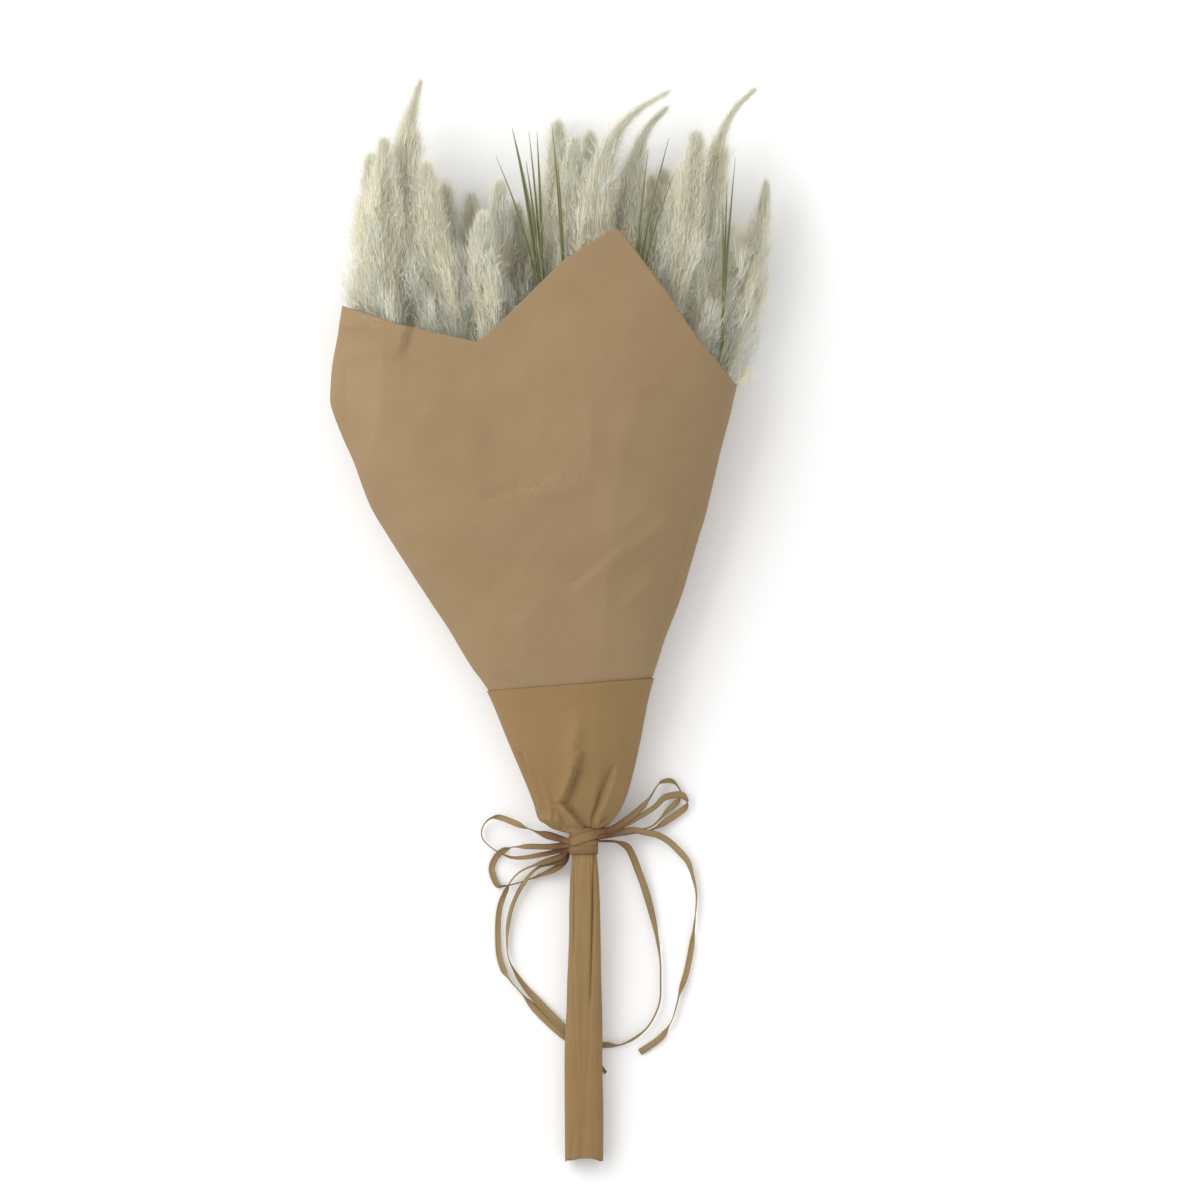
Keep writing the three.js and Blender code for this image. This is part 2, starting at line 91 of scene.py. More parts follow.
class Wire:
    """A socket among a finish's nodes. Sums and products of wires add their own Math nodes."""

    def __init__(self, tree, socket=None):
        self.tree = tree
        self.socket = socket

    def node(self, kind, settings, sockets, out=0):
        made = self.tree.nodes.new("ShaderNode" + kind)
        for name, value in settings.items():
            if name == "stops":
                stops = made.color_ramp.elements
                stops[0].position, stops[0].color = value[0]
                stops[-1].position, stops[-1].color = value[-1]
                for position, color in value[1:-1]:
                    stops.new(position).color = color
            else:
                setattr(made, name, value)
        for name, value in sockets.items():
            if isinstance(value, Wire):
                self.tree.links.new(value.socket, made.inputs[name])
            else:
                made.inputs[name].default_value = value
        return Wire(self.tree, made.outputs[out])

    def worked(self, operation, *values):
        return self.node("Math", {"operation": operation}, dict(enumerate(values)))

    def __add__(self, other):
        return self.worked("ADD", self, other)

    def __sub__(self, other):
        return self.worked("SUBTRACT", self, other)

    def __rsub__(self, other):
        return self.worked("SUBTRACT", other, self)

    def __mul__(self, other):
        return self.worked("MULTIPLY", self, other)

    __radd__ = __add__
    __rmul__ = __mul__

    def blend(self, low, high):
        """The colour that goes from low to high as this goes from 0 to 1."""
        return self.node("Mix", {"data_type": "RGBA"}, {0: self, 6: low, 7: high}, out=2)

    def stretched(self, x, y, z):
        """These coordinates, with a pattern's marks drawn longer where a number is small."""
        return self.node("Mapping", {}, {"Vector": self, "Scale": (x, y, z)})

    def grain(self, scale, detail=4, roughness=0.6):
        sockets = {"Vector": self, "Scale": scale, "Detail": detail, "Roughness": roughness}
        return self.node("TexNoise", {}, sockets)

    def ramp(self, *stops):
        return self.node("ValToRGB", {"stops": stops}, {"Fac": self})

    def between(self, low, high):
        """0 below low, 1 above high."""
        return self.node("MapRange", {}, {"Value": self, "From Min": low, "From Max": high})

    def feeds(self, shader, socket):
        self.tree.links.new(self.socket, shader.inputs[socket])


def paint(red, green, blue):
    """A colour as it is named on screen, 0 to 255, made linear."""
    return tuple(((c / 255 + 0.055) / 1.055) ** 2.4 for c in (red, green, blue)) + (1,)


def new_finish(name, roughness):
    finish = bpy.data.materials.new(name)
    finish.use_nodes = True
    shader = finish.node_tree.nodes["Principled BSDF"]
    shader.inputs["Roughness"].default_value = roughness
    start = Wire(finish.node_tree)
    return finish, shader, start.node("TexCoord", {}, {}, out="Object")


def bumped(height, shader, distance, strength=1.0):
    bump = height.node("Bump", {}, {"Height": height, "Distance": distance, "Strength": strength})
    bump.feeds(shader, "Normal")


def hair_finish():
    finish, shader, place = new_finish("pampas_hair", 0.9)
    tone = place.node("Attribute", {"attribute_name": "tone"}, {}, out="Fac")
    tip = place.node("Attribute", {"attribute_name": "tip"}, {}, out="Fac")
    patch = place.stretched(1, 0.35, 1).grain(22, 3)
    grey_green, pale_grey = paint(200, 203, 188), paint(216, 218, 206)
    straw_yellow, cream = paint(230, 219, 182), paint(233, 233, 220)
    silver, bleached_tip = paint(247, 248, 244), paint(247, 247, 240)
    shade = (tone * 0.8 + patch * 0.5 - 0.15).ramp(
        (0.0, grey_green), (0.25, pale_grey), (0.5, straw_yellow), (0.75, cream), (1.0, silver))
    (tip * 0.5).blend(shade, bleached_tip).feeds(shader, "Base Color")
    return finish


def straw_finish():
    finish, shader, place = new_finish("straw_stem", 0.6)
    dark_straw, light_straw = paint(176, 156, 104), paint(214, 198, 150)
    streak = place.stretched(1, 0.02, 1).grain(900)
    streak.blend(dark_straw, light_straw).feeds(shader, "Base Color")
    bumped(streak, shader, 0.0002)
    return finish


def smooth_at(rows, y):
    """The other numbers of rows (y first, rising) at one height, on a curve without overshoot."""
    k = 0
    while k < len(rows) - 2 and y > rows[k + 1][0]:
        k += 1

    def slope(i, n):
        return (rows[i + 1][n] - rows[i][n]) / (rows[i + 1][0] - rows[i][0])

    def tangent(i, n):
        if i == 0 or i == len(rows) - 1:
            return slope(min(i, len(rows) - 2), n)
        before, after = slope(i - 1, n), slope(i, n)
        return 0 if before * after <= 0 else 2 * before * after / (before + after)

    gap = rows[k + 1][0] - rows[k][0]
    t = min(1, max(0, (y - rows[k][0]) / gap))
    near, far = 2 * t**3 - 3 * t**2 + 1, 3 * t**2 - 2 * t**3
    pull, push = t**3 - 2 * t**2 + t, t**3 - t**2
    return [
        near * rows[k][n] + far * rows[k + 1][n]
        + gap * (pull * tangent(k, n) + push * tangent(k + 1, n))
        for n in range(1, len(rows[0]))
    ]


def stalk_rows(node):
    """The middle of a packed stalk at each of its heights, as (y, x, z)."""
    heights = {}
    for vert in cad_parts[node].data.vertices:
        heights.setdefault(round(vert.co.y, 4), set()).add(tuple(round(c, 6) for c in vert.co))
    rows = []
    for height, corners in sorted(heights.items()):
        middle = sum((Vector(c) for c in corners), Vector()) / len(corners)
        rows.append((height, middle.x, middle.z))
    return rows


def on_line(rows, y):
    x, z = smooth_at(rows, y)
    return Vector((x, y, z))


def outward(angle):
    """The direction away from a stem at an angle round it."""
    return Vector((math.cos(angle), 0, math.sin(angle)))


def rod(mesh, stations, sides):
    """A closed rod through stations of (place, half width), each ring drawn on from the last."""
    ring = bmesh.ops.create_circle(mesh, cap_ends=True, segments=sides, radius=1)["verts"]
    for number, (place, half) in enumerate(stations):
        if number:
            edges = dict.fromkeys(e for v in ring for e in v.link_edges)
            edges = [e for e in edges if all(v in ring for v in e.verts)]
            drawn = bmesh.ops.extrude_edge_only(mesh, edges=edges)["geom"]
            fresh = {v for v in drawn if isinstance(v, bmesh.types.BMVert)}
            ring = [
                next(e.other_vert(v) for e in v.link_edges if e.other_vert(v) in fresh)
                for v in ring
            ]
        for side, vert in enumerate(ring):
            vert.co = place + half * outward(-2 * math.pi * side / sides)
    mesh.faces.new(ring)


def tuft_mesh(seed, tone, spread):
    """Silky hairs that lean out from +Y by about spread degrees, from one point on a branch."""
    dice = random.Random(seed)
    tuft = bmesh.new()
    tip_mark = tuft.verts.layers.float.new("tip")
    tone_mark = tuft.verts.layers.float.new("tone")
    for _ in range(tuft_hairs):
        hair = bmesh.ops.create_circle(tuft, cap_ends=True, segments=3, radius=1)["verts"]
        out = outward(dice.uniform(0, 2 * math.pi))
        lean = math.radians(abs(dice.gauss(0, spread)))
        along = out * math.sin(lean) + Vector((0, math.cos(lean), 0))
        across = along.cross(Vector((dice.gauss(0, 1), 0, dice.gauss(0, 1)))).normalized()
        off = Vector((dice.gauss(0, tuft_width), 0, dice.gauss(0, tuft_width)))
        root = off + along * dice.uniform(0, tuft_length)
        own_tone = tone + dice.uniform(-tone_drift, tone_drift)
        places = [root - across * hair_width / 2, root + across * hair_width / 2]
        places.append(root + along * hair_length * dice.uniform(0.5, 1.15))
        for vert, place, tip in zip(hair, places, (0, 0, 1)):
            vert.co = place
            vert[tip_mark] = tip
            vert[tone_mark] = own_tone
    for face in tuft.faces:
        face.material_index = 1
    mesh = bpy.data.meshes.new("tuft")
    tuft.to_mesh(mesh)
    tuft.free()
    return mesh


# Tufts in five tones, from grey-green to silver, each in four shapes from close to loose.
tones = (0.1, 0.3, 0.45, 0.6, 0.8)
straw_tone = 2
outer_tones = (0, 1, 1, 3, 3, 4)
side_tones = (1, 2, 3)
spreads = (9, 14, 23, 42)
tufts = [
    [tuft_mesh(10 * shape + k, tone, spread) for shape, spread in enumerate(spreads)]
    for k, tone in enumerate(tones)
]


def grow_branch(plume, points, tone, size, dice):
    """Tufts set along a branch, each turned the way the branch runs."""
    for here, there in zip(points, points[1:]):
        ahead = (there - here).normalized()
        turn = ahead.to_track_quat("Y", "Z").to_matrix().to_4x4()
        spin = Matrix.Rotation(dice.uniform(0, 2 * math.pi), 4, "Y")
        grown = size * dice.uniform(0.8, 1.15)
        stamp = Matrix.Translation(here) @ turn @ spin @ Matrix.Scale(grown, 4)
        tuft = dice.choice(tufts[tone])
        tuft.transform(stamp)
        plume.from_mesh(tuft)
        tuft.transform(stamp.inverted())


def fullness(below_tip, tail):
    """How wide a plume is at a distance below its tip, as a share of its full width."""
    slim = min(tail_fullness, 3 * max(0, below_tip)) if tail else 0
    return min(1, slim + (max(0, below_tip - tail) / plume_swell) ** 0.9)


def grow_plume(plume, rows, top, tail, dice):
    """Branches that leave the stem upward, curve out and run on beside it."""
    for number in range(branch_count):
        share = (number + dice.random()) / branch_count
        start = plume_start + (top - bare_tip - plume_start) * (1 - (1 - share) ** 1.2)
        length = min(longest_branch - branch_loss * share, top - start) * dice.uniform(0.8, 1.02)
        out = outward(number * golden_turn + dice.uniform(-branch_drift, branch_drift))
        # Most branches stay close in, and a few stand well out.
        wide = 0.05 + 1.4 * dice.random() ** 1.9
        gap = tuft_step if start > mouth_y - hidden_depth else hidden_tuft_step
        steps = max(2, round(length / gap))
        points = []
        for step in range(steps + 1):
            t = step / steps
            y = start + t * length
            reach = plume_reach * wide * fullness(top - y, tail)
            points.append(on_line(rows, y) + out * reach * (1 - (1 - t) ** 2))
        inner = wide < inner_branch and top - start > 0.06
        tone = straw_tone if inner else dice.choice(outer_tones)
        size = 0.3 + 0.7 * min(1, 2.4 * fullness(top - start - length / 2, tail))
        grow_branch(plume, points, tone, size, dice)


# Shorter side plumes that part from a stalk: (stalk, where it parts, tip x, tip y, reach).
side_plumes = [
    (1, 0.2, -0.1325, 0.258, 0.003),
    (1, 0.215, -0.1255, 0.3, 0.003),
    (0, 0.165, -0.136, 0.224, 0.003),
    (17, 0.235, 0.118, 0.323, 0.0035),
    (17, 0.15, 0.1255, 0.272, 0.009),
    (18, 0.2, 0.1525, 0.257, 0.003),
    (18, 0.15, 0.139, 0.27, 0.009),
    (18, 0.15, 0.1465, 0.226, 0.003),
    (15, 0.22, 0.103, 0.33, 0.003),
]
side_steps = 8
side_size = 0.75  # the tufts on a side plume, against those on a main one


def grow_side_plume(plume, rows, parts_at, tip_x, tip_y, reach, dice):
    """A slim plume that leaves the stem, with branches set along all but its last quarter."""
    base = on_line(rows, parts_at)
    rise, lean = tip_y - base.y, tip_x - base.x
    side_rows = [
        (base.y, base.x, base.z),
        (base.y + 0.4 * rise, base.x + 0.3 * lean, base.z + 0.004),
        (tip_y, tip_x, base.z + 0.006),
    ]
    for branch in range(10 + round(1200 * reach)):
        out = outward(branch * golden_turn)
        start = base.y + rise * 0.75 * dice.random()
        end = min(tip_y, start + 0.5 * rise)
        points = []
        for step in range(side_steps + 1):
            t = step / side_steps
            point = on_line(side_rows, start + (end - start) * t)
            points.append(point + out * reach * math.sin(math.pi * min(0.8, t)))
        grow_branch(plume, points, dice.choice(side_tones), side_size, dice)


straw = straw_finish()
hair = hair_finish()
stalk_nodes = sorted(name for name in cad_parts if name.startswith("plume_stalk"))
stalk_lines = [stalk_rows(node) for node in stalk_nodes]
plumes = []


def squeezed(place):
    """A stem's place, drawn toward the middle of all the stems at and below the tie."""
    pull = stem_squeeze * min(1, max(0, (tie_y + 0.08 - place.y) / 0.07))
    if pull == 0:
        return place
    middle = sum((on_line(rows, place.y) for rows in stalk_lines), Vector()) / len(stalk_lines)
    return place.lerp(middle, pull)


def new_object(name, data):
    made = bpy.data.objects.new(name, data)
    bpy.context.scene.collection.objects.link(made)
    return made


def mesh_object(mesh, name, finishes):
    data = bpy.data.meshes.new(name)
    mesh.to_mesh(data)
    mesh.free()
    for finish in finishes:
        data.materials.append(finish)
    return new_object(name, data)


def finish_piece(mesh, name, finishes, slot, *nodes):
    """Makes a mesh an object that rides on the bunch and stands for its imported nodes."""
    piece = mesh_object(mesh, name, finishes)
    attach(piece, "root")
    if nodes:
        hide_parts(*nodes)
    return piece


for number, node in enumerate(stalk_nodes):
    dice = random.Random(100 + number)
    rows = stalk_lines[number]
    foot, top = rows[0][0], rows[-1][0]
    plume = bmesh.new()
    plume.verts.layers.float.new("tip")
    plume.verts.layers.float.new("tone")
    half = stem_width / 2
    # The cut foot is slightly rounded in.
    stations = [
        (squeezed(on_line(rows, foot + 0.0006)), half * 0.5),
        (squeezed(on_line(rows, foot)), half * 0.6),
    ]
    for ring in range(stem_rings + 1):
        y = foot + (top - foot) * ring / stem_rings
        taper = min(1, 0.15 + 3.2 * (top - y) / (top - foot))
        stations.append((squeezed(on_line(rows, y)), half * taper))
    rod(plume, stations, stem_sides)
    for face in plume.faces:
        face.smooth = True
    grow_plume(plume, rows, top, long_tails.get(number, 0), dice)
    for stalk, *side_plume in side_plumes:
        if stalk == number:
            grow_side_plume(plume, rows, *side_plume, dice)
    name = f"pampas_plume_{number + 1:02d}"
    plumes.append(finish_piece(plume, name, (straw, hair), "pampas", node))

# ---- Sprigs of grass ----
# Four thin green stems stand among the plumes, each ending in a few narrow folded blades that
# part at one joint. The grass is dried green, with pale edges and a darker middle.
blade_thickness = 0.00025
blade_drop = 0.012  # the first blade leaves the stem this far below the joint
blade_spacing = 0.0025
blade_lift = 0.009
sprig_half_width = 0.0008
sprig_rings = 50
# Each sprig: the height of its joint, then its blades as (tip x, tip y, width).
sprigs = {
    "grass_sprig_1": (0.2205, [
        (-0.0393, 0.3198, 0.0016), (-0.0283, 0.3398, 0.004), (-0.0186, 0.3164, 0.0024),
        (-0.0166, 0.3371, 0.0018), (-0.011, 0.3364, 0.0026),
    ]),
    "grass_sprig_2": (0.2205, [(-0.0007, 0.3412, 0.002), (0.0034, 0.315, 0.0024)]),
    "grass_sprig_3": (0.2205, [
        (0.0621, 0.2774, 0.0018), (0.0656, 0.3247, 0.0018), (0.08, 0.3322, 0.0022),
        (0.0835, 0.3081, 0.0018),
    ]),
    "grass_sprig_4": (0.1985, [
        (0.117, 0.2885, 0.0016), (0.12, 0.3012, 0.0018), (0.1256, 0.3185, 0.0018),
    ]),
}


def grass_finish():
    finish, shader, place = new_finish("dried_grass", 0.55)
    vein = place.node("TexCoord", {}, {}, out="UV")
    across = vein.node("SeparateXYZ", {}, {"Vector": vein}, out="X")
    middle = across.worked("ABSOLUTE", across - 0.5)
    streak = place.stretched(1, 0.03, 1).grain(1400)
    dark_green, grey_green, pale_edge = paint(76, 80, 50), paint(124, 123, 86), paint(150, 150, 108)
    green = streak.blend(dark_green, grey_green)
    edge = (middle * 2).between(0.55, 1.0)
    edge.blend(green, pale_edge).feeds(shader, "Base Color")
    bumped(streak, shader, 0.0002)
    return finish


def give_wall(piece, thickness):
    """A thin sheet's thickness, half to each side of its middle."""
    wall = piece.modifiers.new("thickness", "SOLIDIFY")
    wall.thickness = thickness
    wall.offset = 0


grass = grass_finish()
for node, (joint, blades) in sprigs.items():
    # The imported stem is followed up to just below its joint, where the blades part.
    rows = [row for row in stalk_rows(node) if row[0] < joint - 0.03]
    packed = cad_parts[node].data.vertices
    at_joint = [v.co for v in packed if abs(v.co.y - joint) < 0.0004]
    joint_place = sum(at_joint, Vector()) / len(at_joint)
    rows.append((joint, joint_place.x, joint_place.z))
    sprig = bmesh.new()
    sprig.loops.layers.uv.new("UVMap")
    foot = rows[0][0]
    stations = [
        (on_line(rows, foot + (joint - foot) * ring / sprig_rings), sprig_half_width)
        for ring in range(sprig_rings + 1)
    ]
    rod(sprig, stations, 6)
    for face in sprig.faces:
        face.smooth = True
    for number, (tip_x, tip_y, width) in enumerate(blades):
        root = on_line(rows, joint - blade_drop - blade_spacing * number)
        tip = Vector((tip_x, tip_y, joint_place.z + blade_lift))
        bend = Vector(((tip_x - joint_place.x) * 0.12, 0, 0.004))
        old = set(sprig.verts)
        bmesh.ops.create_grid(sprig, x_segments=4, y_segments=16, size=1, calc_uvs=True)
        for vert in (v for v in sprig.verts if v not in old):
            across, t = vert.co.x, (vert.co.y + 1) / 2
            # A blade widens over its first quarter, then thins to a point.
            half = 0.7 * width * min(1, 0.5 + 2.2 * t) * (1 - t**1.6) + 0.0001
            place = root.lerp(tip, t) - bend * 4 * t * (1 - t)
            crease = abs(across) * half * 0.5
            vert.co = place + Vector((across * half, 0, crease))
    piece = finish_piece(sprig, node.replace("sprig", "blades"), (grass,), "grass", node)
    give_wall(piece, blade_thickness)

# ---- Upper kraft sheet ----
# One sheet of brown kraft paper rolled round the plumes with a corner standing up in front, its
# sides lapped at the back. Smooth machine-made paper with a few soft dents from handling.
paper_thickness = 0.0004
paper_squareness = 2.4  # of the rolled section: 2 is an ellipse, more is squarer
lap = math.radians(24)  # the paper's two sides overlap by this much at the back
sheet_columns = 290
sheet_rows = 140
sheet_foot = tie_y + 0.065
sleeve_top = 0.107  # where the sleeve ends over the sheet, above the tie
sleeve_tilt = 0.0044
lap_gap = 0.0009
tuck_gap = 0.0013
tuck_depth = 0.003  # how much further in the sheet lies, well inside the sleeve
release = 0.014  # over this height the sheet comes out from under the sleeve
fold_sharpness = 0.0008
fold_reach = 3  # folds fade out over the last third of the front's depth

# The rolled paper by height: left and right side, middle height, half depth.
cone_rows = [
    (-0.138, -0.0085, 0.04, 0.0205, 0.0125),
    (-0.127, -0.0125, 0.0475, 0.0215, 0.0165),
    (-0.107, -0.021, 0.0545, 0.023, 0.0215),
    (-0.086, -0.03, 0.0595, 0.025, 0.0255),
    (-0.055, -0.0425, 0.0658, 0.0273, 0.03),
    (-0.045, -0.0475, 0.0682, 0.028, 0.0312),
    (-0.014, -0.0668, 0.0782, 0.031, 0.035),
    (0.021, -0.089, 0.0908, 0.034, 0.0395),
    (0.05, -0.109, 0.0982, 0.037, 0.043),
    (0.079, -0.1273, 0.1055, 0.0395, 0.0455),
    (0.11, -0.1388, 0.113, 0.0415, 0.0475),
    (0.143, -0.1522, 0.1225, 0.043, 0.049),
    (0.152, -0.154, 0.1245, 0.0435, 0.0495),
    (0.163, -0.1535, 0.127, 0.044, 0.05),
    (0.217, -0.1455, 0.132, 0.045, 0.05),
    (0.272, -0.138, 0.138, 0.046, 0.05),
]
# The upper edge across the front: left corner, dip, standing corner, right end.
front_edge = [
    (-0.145, 0.217), (-0.1056, 0.2039), (-0.0518, 0.1915), (-0.044, 0.1975), (0.0083, 0.2487),
    (0.04, 0.2688), (0.0442, 0.2694), (0.048, 0.2668), (0.0821, 0.2211), (0.098, 0.197),
    (0.1256, 0.1625),
]
back_left, back_right = 0.217, 0.1625

# Soft folds: the line they follow, how high they stand, how wide they fade, and their kind.
# A ridge stands up on both sides, a step stands up on the left of its line and drops on the
# right, and a bend turns the paper down on the left of its line.
sheet_folds = [
    ([(-0.096, 0.206), (-0.099, 0.2), (-0.105, 0.182)], -0.0036, 0.004, "step"),
    ([(-0.131, 0.104), (-0.1214, 0.1266), (-0.1173, 0.1604), (-0.115, 0.2)], 0.011, 0.016, "bend"),
    ([(-0.152, 0.1835), (-0.1256, 0.184), (-0.1, 0.183)], 0.003, 0.009, "ridge"),
    ([(-0.0486, 0.0802), (-0.0186, 0.0922), (0.0048, 0.1004), (0.0275, 0.0969)],
     -0.002, 0.011, "step"),
    ([(-0.015, 0.086), (0.01, 0.09), (0.0255, 0.09)], 0.0016, 0.007, "ridge"),
    ([(0.0255, 0.1483), (0.0255, 0.097)], 0.0018, 0.008, "ridge"),
    ([(0.0106, 0.0215), (0.0166, 0.0245), (0.0407, 0.0452), (0.048, 0.052)],
     -0.0017, 0.009, "step"),
    ([(0.0402, 0.0387), (0.0847, 0.0713)], 0.0014, 0.005, "ridge"),
    ([(0.0505, 0.0294), (0.0861, 0.0541)], -0.0012, 0.004, "ridge"),
    ([(0.044, 0.06), (0.07, 0.083)], 0.001, 0.004, "ridge"),
    ([(0.056, 0.048), (0.08, 0.064)], 0.0009, 0.003, "step"),
    ([(0.048, 0.008), (0.076, 0.033)], 0.001, 0.004, "ridge"),
    ([(-0.005, 0.125), (0.035, 0.118)], 0.0009, 0.005, "ridge"),
    ([(0.0642, 0.18), (0.0442, 0.104), (0.03, -0.058)], 0.008, 0.03, "bend"),
    ([(0.0821, 0.2211), (0.088, 0.214), (0.096, 0.202)], 0.0014, 0.004, "step"),
    ([(-0.09, 0.146), (-0.045, 0.125)], 0.0016, 0.012, "ridge"),
    ([(-0.07, 0.056), (-0.02, 0.035)], -0.0014, 0.01, "ridge"),
    ([(0.01, 0.23), (0.05, 0.205)], -0.001, 0.012, "ridge"),
    ([(-0.03, -0.01), (0.005, 0.025)], 0.0012, 0.01, "ridge"),
]


def lerp(low, high, share):
    return low + (high - low) * share


def fold_rise(folds, x, y):
    """How far the folds lift the paper at one place on its front."""
    rise = 0
    for line, height, width, kind in folds:
        nearest, side, along, walked = 1, 0, 0, 0
        whole = sum(math.dist(a, b) for a, b in zip(line, line[1:]))
        for (ax, ay), (bx, by) in zip(line, line[1:]):
            length = math.dist((ax, ay), (bx, by))
            t = ((x - ax) * (bx - ax) + (y - ay) * (by - ay)) / length**2
            t = min(1, max(0, t))
            gap = math.hypot(x - lerp(ax, bx, t), y - lerp(ay, by, t))
            if gap < nearest:
                nearest = gap
                side = ((bx - ax) * (y - ay) - (by - ay) * (x - ax)) / length
                along = (walked + t * length) / whole
            walked += length
        fade = math.sin(math.pi * along) ** 0.5 if 0 < along < 1 else 0
        if kind == "ridge":
            rise += height * fade * math.exp(-nearest / width)
        elif kind == "step":
            rise += height * fade * math.exp(-nearest / width) * math.tanh(side / fold_sharpness)
        elif side > 0:
            rise -= height * fade * (1 - math.exp(-side / width))
    return rise


def rounded(angle, squareness):
    """How far across and up a rounded section is at an angle, both from -1 to 1."""
    power = 2 / squareness
    across = math.copysign(abs(math.cos(angle)) ** power, math.cos(angle))
    return across, math.copysign(abs(math.sin(angle)) ** power, math.sin(angle))


def share_across(x, y):
    left, right = smooth_at(cone_rows, y)[:2]
    return (2 * x - left - right) / (right - left)


edge_shares = [(share_across(x, y), y) for x, y in front_edge]
edge_shares[0] = (-1, front_edge[0][1])
edge_shares[-1] = (1, front_edge[-1][1])


def sheet_top(angle):
    across = rounded(angle, paper_squareness)[0]
    if math.sin(angle) < 0:
        return lerp(back_left, back_right, (across + 1) / 2)
    for (low, low_y), (high, high_y) in zip(edge_shares, edge_shares[1:]):
        if across <= high:
            return lerp(low_y, high_y, (across - low) / (high - low))
    return back_right


# A column of the sheet meets each corner of its edge.
turns = [
    math.radians(270) + lap - (2 * math.pi + 2 * lap) * k / sheet_columns
    for k in range(sheet_columns + 1)
]
for across, _ in edge_shares:
    corner = math.acos(math.copysign(abs(across) ** (paper_squareness / 2), across))
    nearest = min(range(len(turns)), key=lambda k: abs(turns[k] - corner))
    turns[nearest] = corner


def bent_sheet(columns, rows, place):
    """A flat sheet of paper, bent so that the point (across, along) goes to place()."""
    paper = bmesh.new()
    paper.loops.layers.uv.new("UVMap")
    bmesh.ops.create_grid(paper, x_segments=columns, y_segments=rows, size=1, calc_uvs=True)
    for vert in paper.verts:
        vert.co = place((vert.co.x + 1) / 2, (vert.co.y + 1) / 2)
    for face in paper.faces:
        face.smooth = True
    return paper


def sleeve_edge(across):
    return tie_y + sleeve_top + sleeve_tilt * across


def wrapped_place(rows, y, turned, inward, ripple, folds, freedom=1):
    """A point of a wrapped paper: on its section, lifted by ripples and folds, off the floor."""
    across, up = turned
    left, right, middle, deep = smooth_at(rows, y)
    x = (left + right) / 2 + across * ((right - left) / 2 - inward)
    place = Vector((x, y, middle + up * (deep - inward)))
    out = Vector((across / (right - left) * 2, 0, up / deep)).normalized()
    wave = ripple(place)
    if up > 0:
        wave += fold_rise(folds, x, y) * min(1, up * fold_reach)
    place += out * wave * freedom
    place.z = max(place.z, inward + paper_thickness / 2)
    return place


def soft_dents(place):
    return noise.noise(place * 15) * 0.0022 + noise.noise(place * 48) * 0.0005


def upper_sheet_place(u, v):
    angle = turns[round(u * sheet_columns)]
    across, up = rounded(angle, paper_squareness)
    y = lerp(sheet_foot, sheet_top(angle), v)
    above = (y - sleeve_edge(across)) / release
    inward = tuck_gap * min(1, max(0, 1 - above)) + tuck_depth * min(1, max(0, -above - 0.3))
    lapped = max(0, 1 - u * 5) if angle > math.radians(180) else 0
    inward += lap_gap * min(1, 2 * lapped)
    # The sheet is held flat under the sleeve, and free to dent above it.
    freedom = min(1, max(0.1, above))
    return wrapped_place(cone_rows, y, (across, up), inward, soft_dents, sheet_folds, freedom)


def kraft_finish(name, light, dark, width, length):
    """Brown kraft: long wood fibres, faint ribs from the paper machine and a soft mottle."""
    finish, shader, place = new_finish(name, 0.85)
    flat = place.node("TexCoord", {}, {}, out="UV").stretched(width, length, 1)
    speck = paint(96, 72, 44)
    mottle = place.grain(16, 5)
    fibre = flat.stretched(1, 0.25, 1).grain(1500, 3)
    rib = flat.node("TexWave", {"bands_direction": "X"}, {
        "Vector": flat, "Scale": 260.0, "Distortion": 1.2, "Detail": 2.0, "Detail Scale": 3.0})
    shade = mottle * 0.7 + fibre * 0.35 + rib * 0.06 - 0.1
    brown = shade.blend(dark, light)
    fleck = flat.stretched(1, 0.4, 1).grain(620, 2).between(0.66, 0.74)
    (fleck * 0.12).blend(brown, speck).feeds(shader, "Base Color")
    (0.9 - fibre * 0.14).feeds(shader, "Roughness")
    crumple = place.grain(46, 3) * 1.2 + place.grain(17, 2) * 2.4
    bumped(fibre * 0.1 + rib * 0.05 + crumple, shader, 0.0008, 0.8)
    return finish


sheet_flat = (0.78, 0.34)
light_kraft, dark_kraft = paint(157, 133, 99), paint(133, 108, 74)
sheet_kraft = kraft_finish("kraft_sheet_paper", light_kraft, dark_kraft, *sheet_flat)
upper_sheet = bent_sheet(sheet_columns, sheet_rows, upper_sheet_place)
upper_sheet = finish_piece(
    upper_sheet, "kraft_upper_sheet", (sheet_kraft,), "kraft_sheet", "upper_wrap_sheet")
give_wall(upper_sheet, paper_thickness)

# The hair lies inside the paper by a small gap, more where the paper is bent down on it.
hair_gap = 0.0028
pressed_gap, pressed_top, pressed_fade = 0.008, 0.185, 0.03
corner_gap, corner_side, corner_fade = 0.011, -0.112, 0.014
floor_gap = 0.0009
side_limit = cad_high[0] - 0.012  # hair further out than this is drawn in
side_squeeze = 0.4


